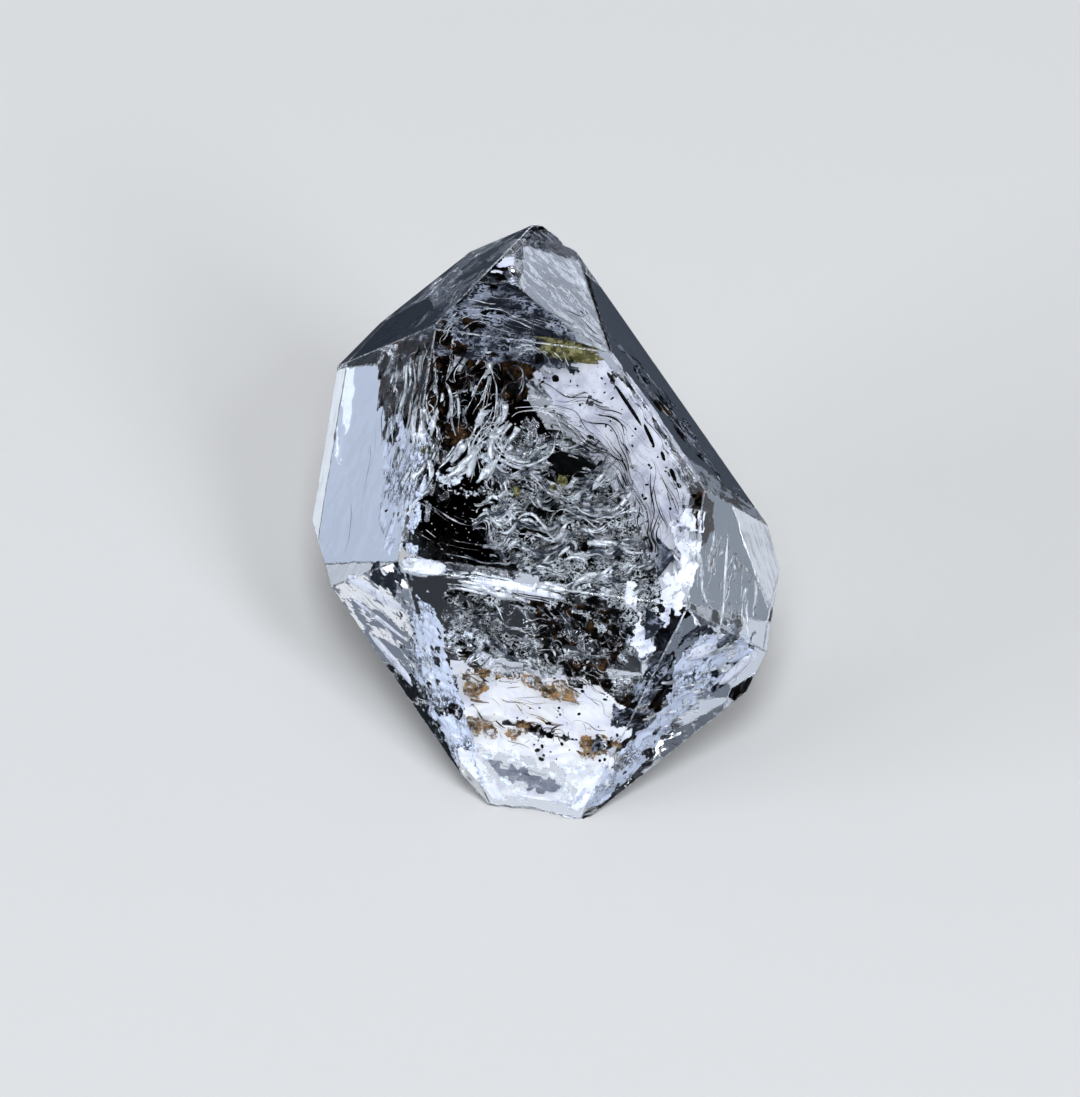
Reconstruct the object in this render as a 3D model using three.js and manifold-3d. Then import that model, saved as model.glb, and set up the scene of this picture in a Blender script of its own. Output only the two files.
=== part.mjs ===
// A clear, doubly terminated quartz crystal of the kind sold as a herkimer diamond: six prism faces
// round the long axis and six slanted faces at each end, all at quartz's own angles, with the reach
// of each face its own. It lies on its back lower end face. Millimetres, +Z up.

import * as THREE from 'three';
import { mergeVertices } from 'three/addons/utils/BufferGeometryUtils.js';
import Module from 'manifold-3d';

// Quartz's angles, in degrees.
const SIDE_STEP = 60; // from one prism face to the next, round the long axis
const END_SLANT = 38.2; // from level up or down to the normal of an end face

// How far each face lies from the middle of the crystal, square to the face, in mm. The sides go
// round the long axis from the front, clockwise as seen from above, one every SIDE_STEP.
const REACH = {
  front: { upper: 7.03, prism: 5.42, lower: 6.61 },
  front_right: { upper: 6.02, prism: 7.47, lower: 8.25 },
  back_right: { upper: 4.39, prism: 6.34, lower: 8.1 },
  back: { upper: 8.7, prism: 6.6, lower: 6.02 },
  back_left: { upper: 10.08, prism: 7.47, lower: 6.37 },
  front_left: { upper: 7.85, prism: 6.34, lower: 7.18 },
};
const BAND_SLANT = { upper: END_SLANT, prism: 0, lower: -END_SLANT };

// Wear and damage, in mm.
const TIP_WEAR = 0.14; // how much of the sharp upper tip is worn off
const SHELL_FACETS = 3; // how finely a shell-shaped chip is rounded
const TIP_CHIP = { radius: 0.75, bite: 0.1 }; // on the edge right of the upper tip
const FOOT_CHIP = { radius: 2.4, bite: 0.22 }; // the broad chip over the foot, on its front edge
const FOOT_NICK = { radius: 0.6, bite: 0.09, spacing: 0.42 }; // the small nicks along the foot
const EDGE_NICK = { radius: 0.45, bite: 0.06 }; // lone nicks on the other edges

const BLANK = 60; // the side of the block that the crystal is cut from
const LYING_TILT = -(90 - END_SLANT); // turns the back lower face down onto the surface

const sides = Object.keys(REACH);

function outward(side, band) {
  const azimuth = THREE.MathUtils.degToRad(sides.indexOf(side) * SIDE_STEP);
  const slant = THREE.MathUtils.degToRad(BAND_SLANT[band]);
  const level = Math.cos(slant);
  return new THREE.Vector3(Math.sin(azimuth) * level, -Math.cos(azimuth) * level, Math.sin(slant));
}

function facePlane(side, band) {
  return new THREE.Plane(outward(side, band), -REACH[side][band]);
}

// The point where three faces meet, each given as [side, band].
function corner(...faces) {
  const [a, b, c] = faces.map(([side, band]) => facePlane(side, band));
  const cross = (p, q) => new THREE.Vector3().crossVectors(p.normal, q.normal);
  const point = cross(b, c).multiplyScalar(-a.constant);
  point.addScaledVector(cross(c, a), -b.constant);
  point.addScaledVector(cross(a, b), -c.constant);
  return point.divideScalar(a.normal.dot(cross(b, c)));
}

const wasm = await Module();
wasm.setup();

function toSolid(geometry) {
  const bare = geometry.clone();
  bare.deleteAttribute('normal');
  bare.deleteAttribute('uv');
  const merged = mergeVertices(bare, 1e-5);
  return new wasm.Manifold(
    new wasm.Mesh({
      numProp: 3,
      vertProperties: new Float32Array(merged.attributes.position.array),
      triVerts: new Uint32Array(merged.index.array),
    }),
  );
}

function toGeometry(solid) {
  const mesh = solid.getMesh();
  const indexed = new THREE.BufferGeometry();
  indexed.setAttribute('position', new THREE.BufferAttribute(mesh.vertProperties, mesh.numProp));
  indexed.setIndex(new THREE.BufferAttribute(mesh.triVerts, 1));
  const faceted = indexed.toNonIndexed();
  faceted.computeVertexNormals();
  return faceted;
}

// All that lies beyond a plane, as a block with one face on the plane.
function beyond(normal, reach) {
  const block = new THREE.BoxGeometry(BLANK, BLANK, BLANK);
  block.translate(0, 0, BLANK / 2 + reach);
  const turn = new THREE.Quaternion().setFromUnitVectors(new THREE.Vector3(0, 0, 1), normal);
  return toSolid(block.applyQuaternion(turn));
}

function cutFaces(solid) {
  for (const side of sides) {
    for (const band of Object.keys(BAND_SLANT)) {
      solid = solid.subtract(beyond(outward(side, band), REACH[side][band]));
    }
  }
  return solid;
}

// A shell-shaped chip: a ball that bites into the surface at a point.
function shell(point, direction, { radius, bite }) {
  const ball = new THREE.IcosahedronGeometry(radius, SHELL_FACETS);
  const middle = point.clone().addScaledVector(direction, radius - bite);
  return toSolid(ball.translate(middle.x, middle.y, middle.z));
}

// A chip part of the way along the edge that two faces share.
function edgeChip(from, to, part, faces, size) {
  const direction = outward(...faces[0]).add(outward(...faces[1])).normalize();
  return shell(from.clone().lerp(to, part), direction, size);
}

function wearUpperTip(solid) {
  const around = [['front', 'upper'], ['front_left', 'upper'], ['back_right', 'upper']];
  const tip = corner(...around);
  const up = new THREE.Vector3(0, 0, 1);
  for (const face of around) {
    const direction = outward(...face).add(up).add(up).normalize();
    solid = solid.subtract(beyond(direction, tip.dot(direction) - TIP_WEAR));
  }
  const ridge = [['front', 'upper'], ['back_right', 'upper']];
  const end = corner(...ridge, ['front_right', 'upper']);
  return solid.subtract(edgeChip(tip, end, 0.72, ridge, TIP_CHIP));
}

// The front edge of the foot is broken: one broad chip, and nicks of uneven size along it.
function breakFoot(solid) {
  const edge = [['front', 'lower'], ['back', 'lower']];
  const left = corner(...edge, ['back_left', 'lower']);
  const right = corner(...edge, ['front_right', 'lower']);
  solid = solid.subtract(edgeChip(left, right, 0.42, edge, FOOT_CHIP));
  const count = Math.round(left.distanceTo(right) / FOOT_NICK.spacing);
  for (let i = 0; i <= count; i += 1) {
    const size = FOOT_NICK.radius * (1 + 0.3 * Math.sin(2.4 * i));
    const bite = FOOT_NICK.bite * (1.2 + Math.sin(1.7 * i + 0.5));
    solid = solid.subtract(edgeChip(left, right, i / count, edge, { radius: size, bite }));
  }
  return solid;
}

// Lone nicks where edges have knocked against other crystals.
function nickEdges(solid) {
  const nicks = [
    { edge: [['front_left', 'prism'], ['back_left', 'prism']], ends: ['upper', 'lower'], part: 0.52 },
    { edge: [['front_right', 'prism'], ['back_right', 'prism']], ends: ['upper', 'lower'], part: 0.8 },
    { edge: [['back', 'prism'], ['back_left', 'prism']], ends: ['upper', 'lower'], part: 0.35 },
    { edge: [['back', 'prism'], ['back_right', 'prism']], ends: ['upper', 'lower'], part: 0.6 },
  ];
  for (const { edge, ends, part } of nicks) {
    const [top, bottom] = ends.map((band) => corner(...edge, [edge[0][0], band]));
    solid = solid.subtract(edgeChip(top, bottom, part, edge, EDGE_NICK));
  }
  return solid;
}

function quartzCrystal() {
  const block = toSolid(new THREE.BoxGeometry(BLANK, BLANK, BLANK));
  const crystal = nickEdges(breakFoot(wearUpperTip(cutFaces(block))));
  const material = new THREE.MeshStandardMaterial({
    color: 0xeef2f8,
    roughness: 0.04,
    metalness: 0,
    transparent: true,
    opacity: 0.35,
  });
  const mesh = new THREE.Mesh(toGeometry(crystal), material);
  mesh.name = 'quartz_crystal';
  mesh.rotation.x = THREE.MathUtils.degToRad(LYING_TILT);
  return mesh;
}

const part = new THREE.Group();
part.add(quartzCrystal());

// The part's origin is the middle of its bounding box, on the surface it lies on.
part.updateMatrixWorld(true);
const box = new THREE.Box3().setFromObject(part, true);
const middle = box.getCenter(new THREE.Vector3());
part.position.set(-middle.x, -middle.y, -box.min.z);

export default part;
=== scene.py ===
"""A clear, doubly terminated quartz crystal of the herkimer kind, with all that is sealed inside it."""
import math
import random
from functools import partial
from typing import NamedTuple

import bpy
from mathutils import Matrix, Vector, noise


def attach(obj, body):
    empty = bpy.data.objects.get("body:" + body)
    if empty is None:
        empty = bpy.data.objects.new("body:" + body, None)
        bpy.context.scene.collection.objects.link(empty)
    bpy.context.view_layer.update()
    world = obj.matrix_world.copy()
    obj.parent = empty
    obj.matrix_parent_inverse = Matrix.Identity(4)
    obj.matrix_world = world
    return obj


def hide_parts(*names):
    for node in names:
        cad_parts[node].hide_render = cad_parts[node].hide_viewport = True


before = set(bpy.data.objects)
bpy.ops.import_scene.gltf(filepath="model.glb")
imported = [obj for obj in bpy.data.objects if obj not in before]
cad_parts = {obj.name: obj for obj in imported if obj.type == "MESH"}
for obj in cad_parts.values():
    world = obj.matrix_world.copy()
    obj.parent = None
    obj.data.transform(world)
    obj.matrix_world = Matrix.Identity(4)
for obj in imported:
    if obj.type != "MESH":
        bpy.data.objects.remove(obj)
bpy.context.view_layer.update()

MM = 0.001

# The crystal, in mm, as in the solid: six sides round the long axis, each with an upper end face, a
# prism face and a lower end face, and how far each of them lies from the middle of the crystal.
SIDE_STEP = 60
END_SLANT = 38.2
REACH = {
    "front": {"upper": 7.03, "prism": 5.42, "lower": 6.61},
    "front_right": {"upper": 6.02, "prism": 7.47, "lower": 8.25},
    "back_right": {"upper": 4.39, "prism": 6.34, "lower": 8.1},
    "back": {"upper": 8.7, "prism": 6.6, "lower": 6.02},
    "back_left": {"upper": 10.08, "prism": 7.47, "lower": 6.37},
    "front_left": {"upper": 7.85, "prism": 6.34, "lower": 7.18},
}
BAND_SLANT = {"upper": END_SLANT, "prism": 0, "lower": -END_SLANT}
BLANK = 60  # the cube that it is cut from

# The faces that something is sealed under, each as its side and band.
FRONT, FRONT_UPPER, FRONT_LOWER = ("front", "prism"), ("front", "upper"), ("front", "lower")
LEFT, LEFT_UPPER, LEFT_LOWER = ("front_left", "prism"), ("front_left", "upper"), ("front_left", "lower")
RIGHT, RIGHT_UPPER, RIGHT_LOWER = ("front_right", "prism"), ("front_right", "upper"), ("front_right", "lower")

# Wear and damage of its edges, in mm. A chip has the radius of the ball that bites it out, and how deep
# it bites. The ball is uneven by this share, with noise this fine.
EDGE_WEAR = 0.035
TIP_WEAR = 0.14
TIP_CHIP = (0.75, 0.1)
FOOT_CHIP = (2.4, 0.22)
FOOT_NICK = (0.6, 0.09)
FOOT_NICK_SPACING = 0.42
EDGE_NICK = (0.45, 0.06)
BALL_UNEVEN = (0.06, 2.5)
WORN = 1  # the crystal's second finish, on all that is worn or broken

# The camera, in degrees and mm.
CAMERA_AZIMUTH = 6.97
CAMERA_ELEVATION = 36.36
CAMERA_ROLL = 3.39
CAMERA_DISTANCE = 515
CAMERA_AIM = Vector((-0.196, -1.093, 5.084))
FRAME_HEIGHT = 36.57

# Soft lamps round the crystal: azimuth (0 in front, 90 to the right), elevation, width and height in
# degrees as the crystal sees them, brightness and colour. The crystal's rays pass the floor, so it sees
# the low ones too, as it would see mirror images in a glossy surface. The three keys light what is sealed
# in it, from where no clear face mirrors them to the camera.
LAMP_DISTANCE = 1200
LAMP_AIM = Vector((0, 0, 6 * MM))
LAMPS = {
    "left_panel": (262, 24, 62, 70, 0.72, (0.79, 0.87, 1.0)),
    "left_glow": (268, -2, 44, 26, 0.12, (1.0, 0.98, 0.95)),
    "back_right_panel": (116, -8, 22, 26, 1.1, (0.84, 0.91, 1.0)),
    "low_right_panel": (136, -24, 18, 12, 0.8, (0.68, 0.79, 1.0)),
    "low_back_panel": (150, -39, 14, 12, 1.0, (0.95, 0.96, 1.0)),
    "right_panel": (70, 12, 44, 50, 0.55, (0.78, 0.86, 1.0)),
    "right_low_panel": (97, -24, 14, 14, 0.8, (0.92, 0.94, 1.0)),
    "back_strip": (153, 5, 14, 18, 0.3, (0.68, 0.79, 1.0)),
    "high_back_panel": (182, 62, 40, 30, 0.75, (0.8, 0.88, 1.0)),
    "back_glow": (181, 23, 18, 9, 0.6, (0.8, 0.88, 1.0)),
    "front_key": (5.5, 50, 14, 24, 58.0, (0.84, 0.91, 1.0)),
    "front_panel": (330, 24, 26, 60, 0.45, (0.8, 0.88, 1.0)),
    "low_front_panel": (301, -45, 26, 48, 0.56, (0.74, 0.83, 1.0)),
    "low_right_front_panel": (33, -34, 22, 26, 0.45, (1.0, 0.97, 0.92)),
    "back_left_panel": (224, -8, 20, 30, 0.28, (0.68, 0.8, 1.0)),
    "below_back_panel": (185, -13, 24, 12, 0.05, (0.75, 0.84, 1.0)),
    "left_key": (304, 16, 34, 11, 30.0, (0.84, 0.91, 1.0)),
    "right_key": (38, 35, 13, 26, 34.0, (0.84, 0.91, 1.0)),
    "shoulder_lamp": (58, 44, 26, 12, 0.2, (0.7, 0.82, 1.0)),
    "back_slit": (154, 5, 22, 1.6, 0.7, (1.0, 1.0, 1.0)),
    "streak_lamp": (140, 33, 16, 14, 1.1, (1.0, 1.0, 1.0)),
    "top_lamp": (50, 78, 36, 24, 0.6, (0.95, 0.97, 1.0)),
    "left_top_lamp": (298, 65, 22, 24, 0.55, (0.95, 0.96, 1.0)),
    "blue_back_lamp": (199, -23, 24, 15, 0.09, (0.55, 0.7, 1.0)),
    "low_front_glow": (316, -22, 60, 30, 0.7, (0.84, 0.91, 1.0)),
    "low_side_glow": (28, -3, 24, 32, 0.7, (0.84, 0.91, 1.0)),
    "foot_left_lamp": (202, 19, 12, 10, 0.6, (0.9, 0.94, 1.0)),
    "foot_right_lamp": (46, -22, 12, 12, 0.6, (0.9, 0.94, 1.0)),
    "foot_panel": (259, -43, 16, 12, 0.12, (0.6, 0.75, 1.0)),
}
FLOOR_SIZE = 3000
DOME_LIGHT = 0.3

QUARTZ_IOR = 1.544
GAS_IN_QUARTZ = 1 / QUARTZ_IOR
OIL_IN_QUARTZ = 0.96
STAIN_IN_QUARTZ = 1.05
CARBON_IN_QUARTZ = 1.04

# The middle of a sheet or a channel is never nearer to a face than this, in mm.
SKIN = 0.2

# Sheets: how fine their mesh is and how thick they are, in mm.
FILM_CELL = 0.045
FILM_THICKNESS = 0.012
# The noise that shapes them: sizes in mm, and for the folds how much finer each layer is, with its share.
WARP_SIZE = 1.2
SWELL_SIZE = 2.2
FOLD_LAYERS = ((1, 1.0), (2.1, 0.3), (4.3, 0.1))
RING_LENGTH = 2.5  # how far round its point a fold counts as running in one radian, in mm
TEAR_FINENESS = 1.3
TEAR_LAYERS = (0.8, 2.2, 3)  # how fast its layers weaken, how much finer each of them is, and how many
RAGGED_EDGE = 0.5  # how far it moves the outline, in mm
LOOSE_CORNER_ROUNDS = 8

# Channels: the length of a step along them, in mm, and the fewest points that make one.
CHANNEL_STRIDE = 0.08
CHANNEL_LEAST = 4
CAP_GAP = 0.00002  # the caps are joined to the tube where they lie this close
# The noise that shapes them, each time how strong it is and its size in mm.
SWING = 2
SWAY = (0.8, 0.45)
RISE = (0.5, 0.8)
BEADS = (0.6, 0.6)
FINE_BEADS = (0.25, 0.2)
END_TAPER = 0.35

# The noise that makes a lump uneven, how strong and how fine, and how thick a strewn grain is by its width.
LUMP_UNEVEN = ((0.3, 2.5), (0.12, 9))
GRAIN_FLATNESS = 0.7

# A pane before it is stretched: the radius of its back and of its front, its thickness, and its noise.
PANE_RADII = (0.46, 0.4)
PANE_THICKNESS = 0.08
PANE_UNEVEN = (0.1, 4)
PANE_SEED = 1  # what its noise starts from, which would otherwise differ from run to run


class Sheet(NamedTuple):
    """A thin folded sheet under a face, torn into patches. Lengths are in mm."""

    face: tuple
    depth: float  # how deep under the face it lies
    height: float  # how high, wide and long its folds are
    wide: float
    long: float
    course: object  # the heading that the folds keep, in degrees, or the point that they run round
    warp: float  # how far the folds wander from it
    swell: float  # how far the whole sheet rises and sinks
    gaps: float  # the sheet is torn where its noise, from -1 to 1, is under this level
    seed: int
    outline: list  # its corners, across and up on the face from where the crystal's middle shows


class Bed(NamedTuple):
    """A bed under a face in which thin channels lie. Lengths are in mm, and a pair is least and most."""

    face: tuple
    depth: tuple
    count: int  # how many channels are drawn
    length: tuple
    thickness: tuple
    course: object  # as for the folds of a sheet
    wriggle: float  # how long its bends are
    curl: float  # how far they turn it off its course
    seed: int
    outline: list


class Scatter(NamedTuple):
    """A bed under a face in which small grains are strewn, with lengths as for a bed of channels."""

    face: tuple
    depth: tuple
    count: int
    size: tuple
    stretch: float  # how much longer than wide a grain may be
    seed: int
    outline: list


# Healed cracks, which are thin films of gas.
CRACKS = {
    "swirl_crack": Sheet(FRONT, 0.9, 0.2, 0.4, 1.2, (-0.66, 1.32), 0.5, 0.3, -0.3, 4, [
        (-1.3, 1.9), (-0.7, 2.2), (0.0, 1.6), (-0.1, 0.8), (-0.8, 0.5), (-1.4, 0.9),
    ]),
    "upright_crack": Sheet(FRONT, 0.9, 0.26, 0.5, 2.4, 84, 0.7, 0.6, 0.0, 9, [
        (-4.6, 0.6), (-3.6, 0.9), (-2.8, 0.3), (-2.6, -0.9), (-3.4, -1.5), (-4.4, -1.4),
    ]),
    "left_crack": Sheet(LEFT, 1.0, 0.22, 0.5, 2.0, 80, 0.7, 0.5, 0.0, 15, [
        (0.2, 1.2), (1.6, 1.6), (3.0, 1.0), (3.2, -2.2), (1.4, -2.2), (0.4, -1.0),
    ]),
    "lower_crack": Sheet(FRONT_LOWER, 0.8, 0.2, 0.5, 1.8, 170, 1.0, 0.6, 0.05, 41, [
        (-2.6, -1.2), (-0.4, -1.6), (3.8, -1.4), (3.4, -2.6), (2.0, -2.6), (0.6, -2.4), (-2.2, -2.8),
    ]),
    "right_crack": Sheet(RIGHT, 0.9, 0.13, 0.42, 2.4, 96, 0.5, 0.5, 0.1, 57, [
        (-2.6, 0.6), (0.4, -0.8), (2.9, -2.0), (2.2, -5.0), (-1.6, -3.6), (-2.6, -2.6),
    ]),
}

# Dark brown films.
BROWN_FILMS = {
    "upper_brown_film": Sheet(FRONT, 1.0, 0.12, 0.5, 1.4, 84, 0.6, 0.3, -0.4, 3, [
        (-4.3, 4.5), (-0.9, 4.5), (-0.3, 3.9), (-0.8, 3.0), (-1.4, 2.0), (-1.8, 0.8), (-3.0, 0.4),
        (-4.2, 0.9),
    ]),
    "left_brown_film": Sheet(LEFT, 0.8, 0.12, 0.5, 1.4, 84, 0.6, 0.3, -0.35, 8, [
        (-1.9, 4.6), (2.9, 4.6), (3.0, 1.0), (1.4, 0.4), (-0.4, 1.0), (-1.6, 2.4),
    ]),
    "shoulder_left_film": Sheet(LEFT_UPPER, 0.36, 0.06, 0.35, 2.0, 128, 0.5, 0.1, -0.1, 61, [
        (-1.0, -0.3), (2.8, -0.8), (2.0, 0.8), (1.2, 2.2), (0.4, 3.4), (-0.2, 3.2), (-0.2, 1.6),
    ]),
    "crown_brown_film": Sheet(FRONT_UPPER, 0.65, 0.1, 0.4, 1.2, (-2.2, -1.6), 0.6, 0.2, -0.05, 30, [
        (-4.4, 0.0), (-3.4, 1.4), (-2.2, 1.0), (-1.4, -0.4), (-3.6, -0.8),
    ]),
    "middle_brown_film": Sheet(FRONT, 0.9, 0.1, 0.4, 0.8, 100, 0.5, 0.2, -0.1, 19, [
        (-1.7, 3.9), (-0.5, 3.9), (-0.6, 2.7), (-1.0, 1.9), (-1.7, 2.6),
    ]),
    "right_lower_film": Sheet(RIGHT_LOWER, 0.8, 0.1, 0.4, 1.2, 60, 0.6, 0.2, 0.0, 79, [
        (-0.5, 0.6), (0.6, 0.6), (1.4, -1.0), (0.9, -3.0), (0.2, -3.0), (-0.6, -1.0),
    ]),
    "band_brown_film": Sheet(FRONT_LOWER, 0.9, 0.12, 0.5, 1.2, 150, 0.6, 0.3, -0.3, 67, [
        (0.2, -0.3), (3.5, -0.5), (3.8, -1.6), (3.4, -3.2), (1.9, -2.9), (0.9, -2.0),
    ]),
    "shoulder_brown_film": Sheet(RIGHT_UPPER, 0.8, 0.1, 0.4, 1.4, 125, 0.5, 0.2, 0.0, 44, [
        (-2.0, 1.4), (-1.2, 0.8), (-0.1, -1.4), (0.2, -3.0), (-0.8, -2.2), (-2.0, -0.2),
    ]),
    "corner_brown_film": Sheet(RIGHT, 0.5, 0.08, 0.4, 1.0, 95, 0.3, 0.2, -0.3, 49, [
        (-1.9, 0.4), (-1.0, 0.0), (-0.8, -1.4), (-1.5, -1.6),
    ]),
}

# Crumpled films: black cells closed in by pale lines.
NET_FILMS = {
    "middle_net": Sheet(FRONT, 1.3, 0.12, 0.45, 1.2, 130, 0.7, 0.2, -0.5, 77, [
        (-0.6, 0.8), (0.2, 1.8), (0.9, 1.6), (2.0, 0.6), (3.2, -0.9), (4.2, -2.4), (4.6, -3.2),
        (4.4, -4.3), (1.0, -4.1), (0.4, -3.2), (-1.4, -2.6), (-1.8, -1.2),
    ]),
    "band_net": Sheet(FRONT_LOWER, 1.0, 0.12, 0.45, 1.4, 168, 0.7, 0.2, -0.2, 73, [
        (-2.6, -0.5), (0.2, -0.3), (3.7, -0.4), (4.0, -1.6), (3.5, -3.2), (0.6, -2.9), (-2.2, -2.8),
    ]),
}

# Crumpled films the other way round: pale cells closed in by dark lines.
PALE_NETS = {
    "left_net": Sheet(LEFT, 0.6, 0.14, 0.45, 1.6, 80, 0.7, 0.2, -0.15, 71, [
        (-0.4, 2.0), (3.4, 1.2), (3.5, -2.4), (2.6, -3.9), (1.1, -3.0), (0.3, -1.8), (-0.2, 0.0),
    ]),
    "lower_left_net": Sheet(LEFT_LOWER, 0.6, 0.1, 0.4, 0.8, -60, 0.7, 0.2, -0.3, 65, [
        (3.0, 0.2), (1.9, -0.2), (0.9, -1.2), (0.2, -2.4), (-0.6, -5.2), (-0.6, -7.0), (1.4, -7.2),
        (2.0, -5.0), (2.4, -2.4),
    ]),
    "right_lower_veil": Sheet(RIGHT_LOWER, 0.6, 0.12, 0.5, 1.4, 60, 0.7, 0.2, -0.4, 59, [
        (-0.4, 0.9), (2.8, 1.6), (3.0, 0.4), (1.9, -1.6), (2.0, -5.0), (1.6, -6.9), (0.2, -6.9),
        (0.6, -4.6), (0.8, -1.4), (-0.2, -0.4),
    ]),
}

# Crumpled films with near-black cells and dull grey lines.
SLATE_FILMS = {
    "shoulder_net": Sheet(RIGHT_UPPER, 0.5, 0.08, 0.4, 1.6, 120, 0.6, 0.1, 0.0, 56, [
        (-2.6, 2.2), (-1.4, 1.8), (0.4, -0.6), (0.6, -3.4), (-0.3, -2.6), (-2.2, 0.2),
    ]),
    "crown_net": Sheet(FRONT_UPPER, 0.75, 0.1, 0.4, 1.6, (-2.2, -1.6), 0.6, 0.2, -0.7, 12, [
        (-4.6, -0.2), (-3.9, 1.9), (-3.2, 3.2), (-2.6, 3.7), (-1.9, 3.5), (-1.2, 2.9), (-0.4, 2.2),
        (0.3, 1.3), (0.7, 0.2), (0.4, -1.0), (-3.8, -1.0),
    ]),
    "shoulder_left_net": Sheet(LEFT_UPPER, 0.3, 0.05, 0.35, 1.8, 122, 0.6, 0.06, -0.05, 60, [
        (-1.2, 0.0), (2.9, -0.7), (1.6, 1.7), (0.5, 3.4), (-0.1, 3.0), (-0.3, 1.4),
    ]),
    "lower_left_corner": Sheet(LEFT_LOWER, 0.5, 0.08, 0.3, 1.6, 70, 0.4, 0.1, -0.6, 69, [
        (-0.5, 1.2), (2.9, 1.0), (2.7, 0.2), (1.0, 0.0),
    ]),
    "right_lower_net": Sheet(RIGHT_LOWER, 0.75, 0.12, 0.5, 1.4, 60, 0.7, 0.2, -0.05, 62, [
        (-0.7, 1.0), (2.6, 1.8), (2.9, -0.4), (1.3, -3.8), (0.0, -4.8), (-0.9, -1.8),
    ]),
}

# The grey cloud in the foot.
SMOKE_FILMS = {
    "foot_cloud": Sheet(FRONT_LOWER, 0.3, 0.05, 0.5, 1.0, 10, 0.4, 0.05, -0.3, 16, [
        (-0.6, -6.1), (0.5, -6.3), (2.0, -6.4), (2.4, -6.8), (1.2, -7.1), (-0.2, -6.8),
    ]),
}

# White films at the corners, and at the upper tip a white film that is a painted highlight.
WHITE_FILMS = {
    "corner_veil": Sheet(FRONT, 0.5, 0.1, 0.4, 0.8, 60, 0.6, 0.1, -0.4, 18, [
        (4.3, -0.7), (5.5, -0.4), (5.6, -2.6), (5.4, -4.1), (4.5, -4.1), (4.7, -2.9), (5.1, -2.3),
        (4.7, -1.5),
    ]),
    "lower_corner_veil": Sheet(FRONT_LOWER, 0.6, 0.1, 0.4, 0.8, 50, 0.6, 0.1, 0.02, 29, [
        (3.4, 0.9), (5.4, 0.8), (5.2, -0.6), (4.4, -2.2), (3.6, -2.0), (3.7, -0.6),
    ]),
    "foot_left_veil": Sheet(FRONT_LOWER, 0.32, 0.05, 0.4, 0.8, -50, 0.6, 0.05, -0.6, 35, [
        (-2.0, -5.3), (-1.2, -5.6), (-0.4, -6.8), (0.4, -7.8), (0.2, -8.4), (-0.8, -8.2), (-1.7, -6.8),
    ]),
    "foot_right_veil": Sheet(FRONT_LOWER, 0.32, 0.05, 0.4, 0.8, 50, 0.6, 0.05, -0.6, 36, [
        (2.6, -6.2), (3.4, -5.6), (4.0, -5.4), (3.4, -7.0), (2.4, -8.4), (1.6, -8.4), (1.8, -7.6),
    ]),
    # A painted highlight: a white film where a soft bright glint lies under the upper tip.
    "apex_veil": Sheet(FRONT_UPPER, 0.3, 0.04, 0.4, 0.8, 30, 0.4, 0.05, -0.5, 34, [
        (-3.2, 3.9), (-2.3, 4.0), (-1.9, 4.6), (-2.3, 5.0), (-2.9, 4.5),
    ]),
}

# Milky veils with clear gaps.
VEILS = {
    "swirl_veil": Sheet(FRONT, 1.2, 0.14, 0.6, 1.6, 96, 0.7, 0.4, -0.2, 83, [
        (-4.1, 1.2), (-3.0, 0.6), (-2.0, 1.4), (-1.0, 2.0), (0.2, 1.4), (0.2, 0.4), (-1.0, -0.8),
        (-2.4, -1.0), (-3.4, -0.8), (-4.0, 0.0),
    ]),
    "foot_shade": Sheet(FRONT_LOWER, 0.4, 0.1, 0.5, 1.2, 175, 0.8, 0.1, 0.0, 91, [
        (-1.2, -5.6), (1.0, -6.0), (3.0, -5.9), (3.3, -6.8), (2.4, -7.6), (0.2, -7.6), (-0.8, -6.8),
    ]),
    "lower_veil": Sheet(FRONT_LOWER, 0.8, 0.14, 0.5, 1.0, 150, 0.7, 0.3, -0.2, 85, [
        (-2.7, -1.6), (-1.2, -1.6), (-0.4, -2.6), (-0.6, -3.6), (-2.3, -3.6),
    ]),
}

# The pale lavender ground of the upper right.
PALE_VEILS = {
    "pale_veil": Sheet(FRONT, 0.9, 0.06, 0.8, 1.6, 130, 0.6, 0.2, -0.7, 95, [
        (-0.4, 4.4), (1.3, 4.5), (2.1, 3.8), (3.1, 2.9), (4.6, 0.9), (5.3, -0.2), (5.4, -2.3), (4.7, -2.8),
        (3.9, -2.2), (3.0, -0.6), (1.4, 1.0), (0.6, 2.0), (-0.3, 2.3), (-0.8, 2.7), (-0.3, 3.0),
        (-0.7, 3.4), (-0.2, 3.7), (-0.6, 4.0),
    ]),
}

# The dense milky veils of the foot.
FOOT_VEILS = {
    "foot_rim_veil": Sheet(FRONT_LOWER, 0.7, 0.1, 0.5, 1.2, 172, 0.8, 0.1, -0.8, 89, [
        (-1.5, -4.9), (3.4, -5.0), (3.3, -6.6), (2.2, -7.9), (0.2, -7.9), (-0.9, -7.0), (-1.0, -6.5),
        (-0.3, -6.5), (0.2, -6.9), (2.0, -6.9), (1.7, -6.1), (-0.3, -6.0), (-0.35, -6.3), (-1.2, -6.3),
    ]),
    "foot_veil": Sheet(FRONT_LOWER, 0.9, 0.06, 0.6, 1.4, 172, 0.8, 0.3, -0.9, 87, [
        (-2.2, -2.9), (0.2, -3.0), (2.6, -3.0), (3.7, -3.6), (3.8, -4.8), (2.6, -5.3), (0.4, -4.9),
        (-1.4, -5.6), (-1.7, -4.6),
    ]),
}

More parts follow.
